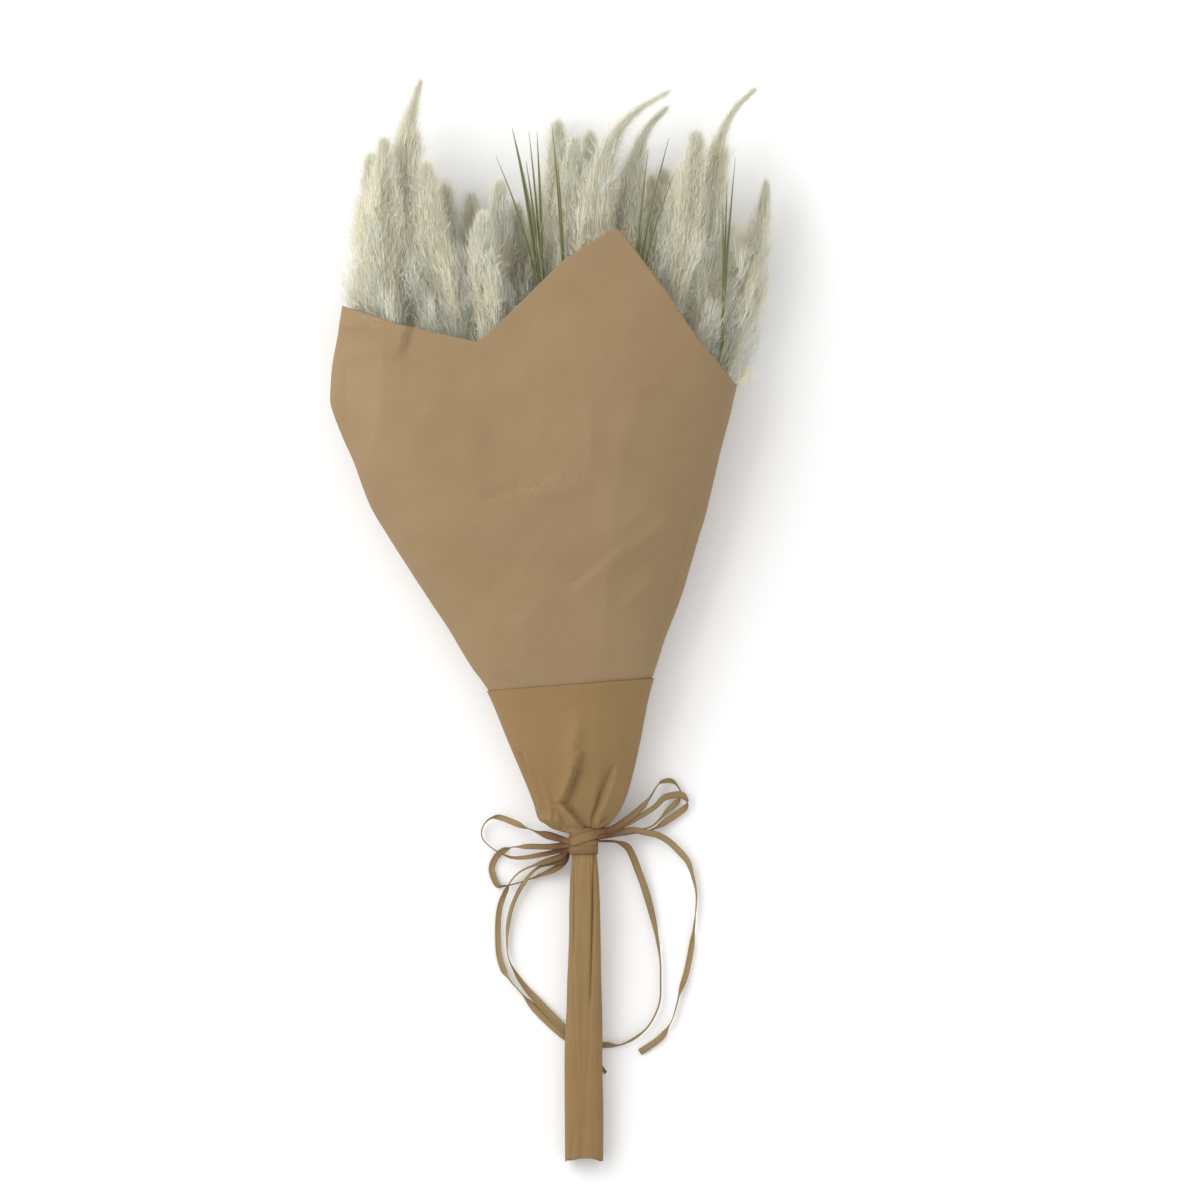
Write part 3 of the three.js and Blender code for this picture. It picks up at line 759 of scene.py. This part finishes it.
def held_in(piece):
    """Draws a plume's hair and stem inside the rolled paper, as far up as the paper reaches."""
    data = piece.data
    flat = np.empty(3 * len(data.vertices), dtype=np.float32)
    data.vertices.foreach_get("co", flat)
    x, y, z = flat.reshape(-1, 3).T
    heights = np.linspace(cone_rows[0][0], cone_rows[-1][0], 200)
    table = np.array([smooth_at(cone_rows, height) for height in heights])
    left, right, middle, deep = (np.interp(y, heights, column) for column in table.T)
    gap = hair_gap + pressed_gap * np.clip((pressed_top - y) / pressed_fade, 0, 1)
    gap += corner_gap * np.clip((corner_side - x) / corner_fade, 0, 1)
    half = (right - left) / 2 - hair_gap
    across = (x - (left + right) / 2) / half
    up = (z - middle) / (deep - gap)
    round_sum = np.abs(across) ** paper_squareness + np.abs(up) ** paper_squareness
    out = np.maximum(0.0001, round_sum ** (1 / paper_squareness))
    edge = np.interp(across / out, *zip(*edge_shares))
    back = lerp(back_left, back_right, (across / out + 1) / 2)
    covered = (y < np.where(up > 0, edge, back)) & (y > heights[0]) & (out > 1)
    x[covered] = ((left + right) / 2 + across / out * half)[covered]
    z[covered] = (middle + up / out * (deep - gap))[covered]
    x -= side_squeeze * np.maximum(0, x - side_limit)
    np.maximum(z, floor_gap, out=z)
    data.vertices.foreach_set("co", flat)


for plume in plumes:
    held_in(plume)

# ---- Stem sleeve ----
# A second, smaller piece of a browner kraft: an open tube round the stems, pinched at the neck and
# spread again over the foot of the upper sheet. It is pleated and creased where the tie holds it.
sleeve_columns = 200
sleeve_edge_rows = 8  # they follow the sleeve's slanting upper edge
tube_squareness = 3.4
pleat_depth = 0.0016
foot_y = tie_y - 0.2228
# The sleeve below the cone: left and right side, middle height, half depth.
tube_rows = [
    (foot_y, 0.0084, 0.0345, 0.0089, 0.0089),
    (-0.34, 0.0083, 0.0343, 0.0105, 0.0089),
    (-0.3015, 0.0085, 0.0338, 0.0119, 0.0089),
    (-0.2515, 0.01, 0.033, 0.0143, 0.0089),
    (-0.2115, 0.0116, 0.0324, 0.0164, 0.0089),
    (-0.18, 0.0118, 0.0315, 0.0178, 0.0084),
    (-0.162, 0.0134, 0.0296, 0.019, 0.0071),
    (-0.158, 0.0126, 0.0294, 0.0194, 0.0068),
    (-0.1476, 0.0123, 0.0296, 0.0194, 0.0068),
    (-0.1459, 0.006, 0.03, 0.0194, 0.0066),
    (-0.144, 0.0008, 0.0314, 0.0194, 0.0068),
    (-0.1426, -0.0016, 0.035, 0.0196, 0.008),
    (-0.1408, -0.004, 0.0376, 0.0199, 0.0108),
] + cone_rows[:9]
sleeve_folds = [
    ([(0.0176, -0.064), (0.0169, -0.077), (0.0134, -0.088), (0.015, -0.104)],
     0.004, 0.005, "ridge"),
    ([(0.0015, -0.1262), (0.0076, -0.1245), (0.0145, -0.1066), (0.0196, -0.09)],
     0.0062, 0.004, "step"),
    ([(0.0225, -0.1445), (0.015, -0.136), (0.0046, -0.1245)], 0.005, 0.004, "step"),
    ([(0.0276, -0.1445), (0.031, -0.1328), (0.0442, -0.0998)], -0.0054, 0.005, "step"),
    ([(-0.0097, -0.13), (-0.0117, -0.1183), (-0.0166, -0.1045), (-0.0207, -0.0902)],
     -0.004, 0.004, "step"),
    ([(0.031, -0.141), (0.042, -0.1315)], -0.0032, 0.002, "ridge"),
    ([(0.009, -0.142), (0.0015, -0.129)], -0.003, 0.002, "ridge"),
    ([(-0.0085, -0.135), (0.006, -0.1405)], 0.0028, 0.003, "ridge"),
    ([(0.035, -0.14), (0.044, -0.129)], 0.0026, 0.003, "ridge"),
    ([(0.0324, -0.044), (0.03, -0.075), (0.025, -0.11)], 0.004, 0.02, "bend"),
    ([(0.0284, -0.153), (0.0282, -0.19), (0.0268, -0.227), (0.0255, -0.282)],
     0.0009, 0.0016, "step"),
    ([(0.0286, -0.153), (0.0285, -0.18), (0.0276, -0.22), (0.0262, -0.27)],
     -0.0036, 0.0008, "ridge"),
    ([(0.0138, -0.156), (0.0138, -0.18), (0.0144, -0.23)], -0.0015, 0.0007, "ridge"),
    ([(0.0215, -0.22), (0.0205, -0.27), (0.019, -0.335)], -0.0011, 0.0012, "ridge"),
    ([(0.012, -0.3745), (0.0135, -0.36), (0.016, -0.35)], -0.001, 0.0014, "ridge"),
    ([(0.019, -0.3745), (0.0205, -0.364), (0.02, -0.356)], -0.0012, 0.0014, "ridge"),
    ([(0.019, -0.33), (0.0145, -0.245), (0.0152, -0.2)], -0.0008, 0.0016, "step"),
    ([(0.0186, -0.3743), (0.0225, -0.335), (0.0255, -0.27)], -0.0009, 0.002, "ridge"),
]


def squareness_at(y):
    """The stems fill the tube into its corners, and the cone above is rounder."""
    share = min(1, max(0, (y - tie_y - 0.004) / 0.012))
    return lerp(tube_squareness, paper_squareness, share)


def gather(angle, y):
    """Small pleats round the whole sleeve, deepest beside the tie."""
    above = y - tie_y
    depth = pleat_depth * math.exp(-((above - 0.016) / 0.022) ** 2) if above > 0.007 else 0.0003
    if above < -0.008:
        depth = 0.0005 * math.exp((above + 0.008) / 0.05) + 0.0002
    pleat = 0.6 * math.sin(7 * angle + 40 * y)
    pleat += 0.3 * math.sin(13 * angle + 1.3) + 0.25 * math.sin(19 * angle)
    return depth * (abs(pleat) - 0.4)


# The sleeve's rows lie closest together about the tie: (from, to, how many).
spans = [(foot_y, -0.165, 70), (-0.165, -0.130, 56), (-0.130, -0.075, 40), (-0.075, -0.055, 8)]
heights = [lerp(low, high, k / count) for low, high, count in spans for k in range(count)]
heights.append(spans[-1][1])
row_count = len(heights) + sleeve_edge_rows - 1


def sleeve_place(u, v):
    row = round(v * row_count)
    angle = math.radians(270) + lap - (2 * math.pi + 2 * lap) * u
    y = heights[min(row, len(heights) - 1)]
    across, up = rounded(angle, squareness_at(y))
    if row >= len(heights):
        edge_share = (row - len(heights) + 1) / sleeve_edge_rows
        y = lerp(heights[-1], sleeve_edge(across), edge_share)
    if row == 0:
        # The foot is cut a little hollow.
        y += 0.002 * (1 - across**2) + 0.0003 * math.sin(5 * angle + 1)
    inward = lap_gap * min(1, 2 * max(0, 1 - u * 5))

    def ripple(place):
        return gather(angle, y) + noise.noise(place * 30) * 0.0006

    return wrapped_place(tube_rows, y, (across, up), inward, ripple, sleeve_folds)


sleeve_flat = (0.21, 0.33)
light_kraft, dark_kraft = paint(149, 122, 80), paint(127, 98, 57)
sleeve_kraft = kraft_finish("kraft_sleeve_paper", light_kraft, dark_kraft, *sleeve_flat)
sleeve = bent_sheet(sleeve_columns, row_count, sleeve_place)
sleeve = finish_piece(sleeve, "kraft_stem_sleeve", (sleeve_kraft,), "kraft_sleeve", "stem_sleeve")
give_wall(sleeve, paper_thickness)

# ---- Raffia tie ----
# Flat dried raffia wound round the neck in overlapping turns and pulled tight, one turn crossing
# the front aslant where the bow's strands go under it.
raffia_thickness = 0.00035
knot_middle = Vector((0.021, tie_y, 0.01943))
knot_squareness = 3.0
knot_half_width, knot_half_depth = 0.0091, 0.0072
turn_steps = 64
band_curl, strand_curl = 0.1, 0.28  # how much the straw arches across its width
# Painted shade: the straw is painted darker near the knot, for the shadow where the strands bunch
# and overlap.
knot_shade_from, knot_shade_to = 0.009, 0.05  # the straw is darker this near the knot


def raffia_finish():
    finish, shader, place = new_finish("raffia_straw", 0.55)
    strand = place.node("TexCoord", {}, {}, out="UV")
    fibre = strand.stretched(1, 0.05, 1).grain(26, 5)
    patch = place.grain(38, 3)
    shade = fibre * 0.9 + patch * 0.7 - 0.3
    ends = {0: place, 1: knot_middle}
    away = place.node("VectorMath", {"operation": "DISTANCE"}, ends, out="Value")
    away = away.between(knot_shade_from, knot_shade_to)
    # The colours on the knot, just beside it, and further off. Just beside the knot the straw is
    # painted darker: partly its own orange-brown, partly painted shade for the shadow among the
    # bunched, overlapping strands.
    dark = [paint(110, 80, 42), paint(66, 34, 10), paint(112, 87, 48)]
    light = [paint(150, 118, 70), paint(124, 78, 32), paint(176, 151, 104)]
    dark, light = (away.ramp(*zip((0.0, 0.2, 1.0), colours)) for colours in (dark, light))
    shade.blend(dark, light).feeds(shader, "Base Color")
    (0.62 - fibre * 0.2).feeds(shader, "Roughness")
    bumped(fibre, shader, 0.0006, 0.7)
    return finish


def lay_strip(mesh, places, sides, ups, halves, curl):
    """A flat strand of raffia laid along places; side points across it and up out of its face."""
    old = set(mesh.verts)
    bmesh.ops.create_grid(mesh, x_segments=6, y_segments=len(places) - 1, size=1, calc_uvs=True)
    last = len(places) - 1
    for vert in [v for v in mesh.verts if v not in old]:
        across, step = vert.co.x, round((vert.co.y + 1) / 2 * last)
        arch = curl * (1 - across**2) + 0.05 * math.sin(9 * across)
        vert.co = places[step] + halves[step] * (across * sides[step] + arch * ups[step])
    for face in mesh.faces:
        face.smooth = True


raffia = raffia_finish()
# Each turn: its height at the left and right of the front, half width, how far out it lies.
band_turns = [
    (-0.0074, -0.007, 0.003, 0.0006),
    (-0.004, -0.0034, 0.0034, 0.0001),
    (0.005, 0.005, 0.0034, 0.0004),
    (-0.0019, 0.0046, 0.0036, 0.0009),
]
band = bmesh.new()
band.loops.layers.uv.new("UVMap")
for left_rise, right_rise, half, out_by in band_turns:
    places, ups = [], []
    for step in range(turn_steps + 1):
        angle = 2 * math.pi * step / turn_steps
        across, up = rounded(angle, knot_squareness)
        rise = lerp(left_rise, right_rise, (across + 1) / 2) * (1 if up > 0 else 0.6)
        x, z = across * (knot_half_width + out_by), up * (knot_half_depth + out_by)
        places.append(knot_middle + Vector((x, rise, z)))
        ups.append(Vector((across, 0, up)).normalized())
    count = len(places)
    lay_strip(band, places, [Vector((0, -1, 0))] * count, ups, [half] * count, band_curl)
bmesh.ops.remove_doubles(band, verts=band.verts, dist=0.00001)
band = finish_piece(band, "raffia_wound_knot", (raffia,), "raffia", "raffia_knot")
give_wall(band, raffia_thickness)

# ---- Raffia bow ----
# Seven lengths of the same raffia leave the knot: two loops on each side, one long loop that
# passes under the stems, and two loose ends. Each is a flat strand that twists as it goes.
strand_step = 0.0016  # from place to place along a strand
knot_side = 0.01055
knot_hold = 0.003  # how far a strand runs on into the knot


def left_side(y, z):
    return (knot_middle.x - knot_side, tie_y + y, knot_middle.z + z)


def right_side(y, z):
    return (knot_middle.x + knot_side, tie_y + y, knot_middle.z + z)


# Each strand: its route, then by route point its turn in degrees and its width in millimetres.
strands = {
    "raffia_loop_left_1": ([
        left_side(-0.001, 0.005), (-0.002, -0.149, 0.021), (-0.015, -0.145, 0.015),
        (-0.026, -0.1405, 0.01), (-0.0365, -0.1365, 0.007), (-0.043, -0.137, 0.0055),
        (-0.0475, -0.141, 0.004), (-0.0495, -0.146, 0.0035), (-0.0485, -0.1515, 0.0035),
        (-0.043, -0.157, 0.0045), (-0.0365, -0.161, 0.006), (-0.029, -0.164, 0.0075),
        (-0.0195, -0.164, 0.009), (-0.0055, -0.1615, 0.013), (0.005, -0.159, 0.0175),
        left_side(-0.0053, 0.001),
    ], [
        (0, 20), (1, 5), (2, 85), (3, 170), (4, 165), (5, 110), (6, 98), (9, 96), (10, 105),
        (11, 125), (13, 150), (15, 160),
    ], [
        (0, 4), (1, 5.4), (2, 3.2), (3, 4.2), (4, 4), (5, 3), (10, 2.6), (12, 3.8), (15, 4),
    ]),
    "raffia_loop_left_2": ([
        left_side(-0.0033, 0.003), (-0.002, -0.1565, 0.0185), (-0.016, -0.1565, 0.011),
        (-0.0275, -0.157, 0.005), (-0.0345, -0.1595, 0.003), (-0.0395, -0.164, 0.0027),
        (-0.0425, -0.171, 0.0027), (-0.0415, -0.177, 0.0027), (-0.0385, -0.1835, 0.0027),
        (-0.035, -0.184, 0.0027), (-0.0285, -0.183, 0.0027), (-0.0195, -0.1805, 0.003),
        (-0.009, -0.1765, 0.005), (0.0015, -0.172, 0.0085), (0.008, -0.1665, 0.012),
        left_side(-0.0071, -0.0053),
    ], [
        (0, 10), (2, 10), (3, 85), (4, 165), (7, 180), (8, 195), (9, 245), (10, 260), (11, 262),
        (12, 310), (13, 340), (15, 350),
    ], [
        (0, 4.2), (2, 3.8), (3, 3), (4, 4.3), (7, 4.3), (9, 3), (11, 2.8), (12, 3.5), (13, 4.6),
        (15, 4),
    ]),
    "raffia_loop_right_1": ([
        right_side(0.0056, 0.005), (0.0407, -0.144, 0.0225), (0.0497, -0.1385, 0.019),
        (0.06, -0.1305, 0.014), (0.067, -0.1225, 0.0105), (0.0718, -0.1145, 0.008),
        (0.076, -0.1115, 0.0065), (0.0815, -0.111, 0.005), (0.0855, -0.114, 0.004),
        (0.088, -0.1185, 0.003), (0.0875, -0.123, 0.0027), (0.085, -0.1265, 0.0027),
        (0.08, -0.131, 0.0032), (0.0745, -0.137, 0.0045), (0.069, -0.142, 0.0065),
        (0.062, -0.1445, 0.009), (0.0495, -0.1455, 0.0125), (0.0405, -0.1463, 0.0155),
        right_side(0.0039, 0.001),
    ], [
        (0, 0), (3, 10), (4, 70), (5, 80), (6, 150), (7, 175), (8, 250), (9, 262), (10, 300),
        (11, 350), (12, 365), (13, 425), (15, 435), (16, 455), (18, 460),
    ], [
        (0, 4), (3, 4.4), (5, 2.6), (6.5, 3.4), (8, 2.6), (9, 2.6), (11, 3.8), (13, 2.6), (16, 3),
        (18, 3),
    ]),
    "raffia_loop_right_2": ([
        right_side(0.0033, 0.0032), (0.0405, -0.146, 0.0205), (0.052, -0.14, 0.0165),
        (0.063, -0.134, 0.012), (0.071, -0.1285, 0.0085), (0.0765, -0.123, 0.0068),
        (0.083, -0.121, 0.006), (0.089, -0.121, 0.0055), (0.0928, -0.125, 0.0045),
        (0.0915, -0.1295, 0.004), (0.086, -0.134, 0.004), (0.0785, -0.139, 0.0045),
        (0.0705, -0.144, 0.006), (0.0615, -0.1465, 0.008), (0.0495, -0.148, 0.0115),
        right_side(0.0013, -0.003),
    ], [
        (0, 0), (4, 10), (5, 20), (7, 10), (8, 60), (8.5, 120), (9, 165), (11, 185), (12, 250),
        (13, 262), (14, 300), (15, 330),
    ], [
        (0, 3.6), (4, 3.6), (5.5, 4.8), (7, 4.8), (8, 3.8), (9.5, 4.6), (11, 4.4), (12.5, 2.8),
        (14, 3), (15, 3.0),
    ]),
    "raffia_long_loop": ([
        left_side(-0.0069, -0.0011), (0.0088, -0.159, 0.0178), (0.006, -0.163, 0.016),
        (-0.002, -0.166, 0.013), (-0.0145, -0.17, 0.009), (-0.0235, -0.1745, 0.007),
        (-0.0295, -0.181, 0.0058), (-0.033, -0.188, 0.0048), (-0.0365, -0.197, 0.004),
        (-0.038, -0.2065, 0.0035), (-0.0383, -0.219, 0.0032), (-0.0375, -0.2315, 0.003),
        (-0.0345, -0.242, 0.0029), (-0.0295, -0.25, 0.0028), (-0.022, -0.2585, 0.0022),
        (-0.014, -0.2675, 0.0015), (-0.004, -0.2775, 0.001), (0.005, -0.2855, 0.0009),
        (0.0115, -0.29, 0.0009), (0.02, -0.293, 0.0009), (0.0285, -0.294, 0.0009),
        (0.0365, -0.294, 0.0015), (0.046, -0.294, 0.0022), (0.056, -0.2895, 0.0027),
        (0.065, -0.282, 0.003), (0.071, -0.272, 0.003), (0.074, -0.262, 0.003),
        (0.0743, -0.248, 0.003), (0.074, -0.2355, 0.003), (0.072, -0.2205, 0.0032),
        (0.0685, -0.204, 0.0036), (0.064, -0.1875, 0.0045), (0.059, -0.1735, 0.006),
        (0.0545, -0.162, 0.008), (0.0505, -0.156, 0.01), (0.043, -0.153, 0.0125),
        right_side(-0.0011, -0.005),
    ], [
        (0, 10), (3, 10), (4, 70), (6, 80), (7, 150), (8, 178), (12, 185), (12.6, 255), (14, 275),
        (15, 350), (17, 360), (21, 365), (22, 430), (23, 415), (24, 430), (28, 436), (29, 415),
        (30, 375), (31, 362), (34, 358), (35, 300), (36, 300),
    ], [
        (0, 4), (3, 4.2), (5, 3), (7, 3.8), (12, 3.9), (14, 2.8), (15.5, 5.2), (17, 5.2), (19, 4),
        (21, 3.8), (22, 3), (24, 2.8), (28, 3), (29, 3.6), (31, 4.8), (33.5, 4.8), (35, 3.2),
        (36, 3.2),
    ]),
    "raffia_tail_left": ([
        left_side(-0.0072, -0.0032), (0.0089, -0.16, 0.0157), (0.007, -0.1655, 0.014),
        (-0.0005, -0.168, 0.011), (-0.009, -0.1705, 0.009), (-0.015, -0.175, 0.0072),
        (-0.0195, -0.181, 0.006), (-0.024, -0.188, 0.005), (-0.0285, -0.1985, 0.004),
        (-0.031, -0.2095, 0.0035), (-0.032, -0.222, 0.0032), (-0.0305, -0.2345, 0.003),
        (-0.0255, -0.245, 0.003), (-0.0185, -0.255, 0.003), (-0.0095, -0.265, 0.003),
        (-0.0005, -0.2745, 0.0028), (0.0085, -0.284, 0.0027), (0.0175, -0.293, 0.0027),
        (0.027, -0.3025, 0.0024), (0.0365, -0.3135, 0.0016),
    ], [
        (0, 0), (2, 10), (4, 60), (5, 58), (6, 40), (9, 45), (10, 70), (11, 95), (12.5, 140),
        (14, 175), (17, 180), (18, 205), (19, 215),
    ], [
        (0, 4), (2, 4.2), (4, 3), (6, 3.6), (9, 3.6), (11, 3), (14, 5), (16, 5.2), (18, 3.4),
        (19, 3.0),
    ]),
    "raffia_tail_right": ([
        right_side(0.0021, -0.001), (0.0405, -0.1482, 0.0188), (0.0475, -0.1465, 0.0176),
        (0.0545, -0.145, 0.0152), (0.0635, -0.1466, 0.012), (0.0725, -0.1487, 0.0095),
        (0.0807, -0.1535, 0.0075), (0.0883, -0.161, 0.0055), (0.0935, -0.1675, 0.0042),
        (0.0966, -0.177, 0.0034), (0.099, -0.188, 0.003), (0.099, -0.1985, 0.003),
        (0.0976, -0.212, 0.003), (0.0952, -0.2295, 0.003), (0.0918, -0.2455, 0.003),
        (0.0876, -0.2575, 0.003), (0.0845, -0.2695, 0.003), (0.081, -0.279, 0.003),
        (0.0752, -0.288, 0.0028), (0.067, -0.2945, 0.002), (0.06, -0.299, 0.001),
    ], [
        (0, 20), (3, 0), (7, 5), (8, 20), (9, 55), (10, 70), (11, 80), (12, 110), (13, 172),
        (14, 180), (15.4, 255), (17, 275), (18, 350), (20, 360),
    ], [
        (0, 3.6), (3, 4.2), (7, 4.4), (9, 3.4), (11, 2.8), (13, 4), (14.5, 4), (15.4, 2.8),
        (17, 3), (18, 4.4), (20, 4.4),
    ]),
}


def read_along(keys, at):
    """The value of (route point, value) keys at one place on the route, eased from key to key."""
    for (low, low_value), (high, high_value) in zip(keys, keys[1:]):
        if at <= high:
            t = max(0, (at - low) / (high - low))
            return lerp(low_value, high_value, t * t * (3 - 2 * t))
    return keys[-1][1]


def curved(route):
    """One smooth curve through the route, as (route point, place) at even steps."""
    points = [Vector(p) for p in route]
    points = [2 * points[0] - points[1]] + points + [2 * points[-1] - points[-2]]
    line = []
    for k in range(1, len(points) - 2):
        a, b, c, d = points[k - 1 : k + 3]
        steps = max(2, round((c - b).length / strand_step))
        for step in range(steps):
            t = step / steps
            place = 0.5 * (2 * b + (c - a) * t + (2 * a - 5 * b + 4 * c - d) * t**2
                           + (3 * b - a - 3 * c + d) * t**3)
            line.append((k - 1 + t, place))
    line.append((len(route) - 1, points[-2]))
    return line


for node, (route, turn_keys, width_keys) in strands.items():
    line = curved(route)
    path = [place for _, place in line]
    # The strand runs on into the knot at each end that the knot holds.
    line.insert(0, (0, path[0] + (path[0] - path[1]).normalized() * knot_hold))
    if "loop" in node:
        line.append((len(route) - 1, path[-1] + (path[-1] - path[-2]).normalized() * knot_hold))
    places = [place for _, place in line]
    sides, ups, halves = [], [], []
    for k, (at, place) in enumerate(line):
        ahead = (places[min(k + 1, len(places) - 1)] - places[max(k - 1, 0)]).normalized()
        level = ahead.cross(Vector((0, 0, 1))).normalized()
        turned = Matrix.Rotation(math.radians(read_along(turn_keys, at)), 3, ahead)
        side = turned @ level
        sides.append(side)
        ups.append(side.cross(ahead))
        halves.append(read_along(width_keys, at) / 2000)
    strand = bmesh.new()
    strand.loops.layers.uv.new("UVMap")
    lay_strip(strand, places, sides, ups, halves, strand_curl)
    piece = finish_piece(strand, node.replace("raffia", "raffia_strand"), (raffia,), "raffia", node)
    give_wall(piece, raffia_thickness)
    length = sum((b - a).length for a, b in zip(path, path[1:]))
    far_end = "bare" if "tail" in node else "object"

# ---- Room: floor, light and camera ----
# A plain pale surface under the bunch, one large soft light from the upper left and an even
# white room round it. The camera looks straight down from far off.
floor_drop = 0.0004  # keeps the floor just clear of the paper
floor_mesh = bmesh.new()
bmesh.ops.create_grid(floor_mesh, x_segments=1, y_segments=1, size=6)
bmesh.ops.translate(floor_mesh, vec=(0, 0, -floor_drop), verts=floor_mesh.verts)
floor_paint, floor_shader, floor_place = new_finish("pale_floor", 0.9)
floor_grey, floor_white = paint(246, 246, 246), paint(250, 250, 250)
floor_place.grain(3, 2).blend(floor_grey, floor_white).feeds(floor_shader, "Base Color")
mesh_object(floor_mesh, "floor", (floor_paint,))

world = bpy.data.worlds.new("white_room")
world.use_nodes = True
sky = world.node_tree.nodes["Background"].inputs
sky["Color"].default_value = (1, 1, 1, 1)
sky["Strength"].default_value = 0.92
bpy.context.scene.world = world

lamp = bpy.data.lights.new("soft_key", "AREA")
lamp.size = 2.4
lamp.energy = 46
key = new_object("soft_key", lamp)
key.location = (-1.8, 1.0, 1.8)
key.rotation_euler = (-key.location).to_track_quat("-Z", "Y").to_euler()

bpy.context.scene.view_settings.view_transform = "Standard"

view_middle = (0.0324, 0.0141)
view_width = 0.828  # what the camera takes in, at the height of the paper's front
view_height = 12.0
front_height = 0.045
lens = bpy.data.cameras.new("camera")
lens.sensor_width = 36
lens.lens = lens.sensor_width * (view_height - front_height) / view_width
lens.clip_end = 20
camera = new_object("camera", lens)
camera.location = (*view_middle, view_height)
bpy.context.scene.camera = camera
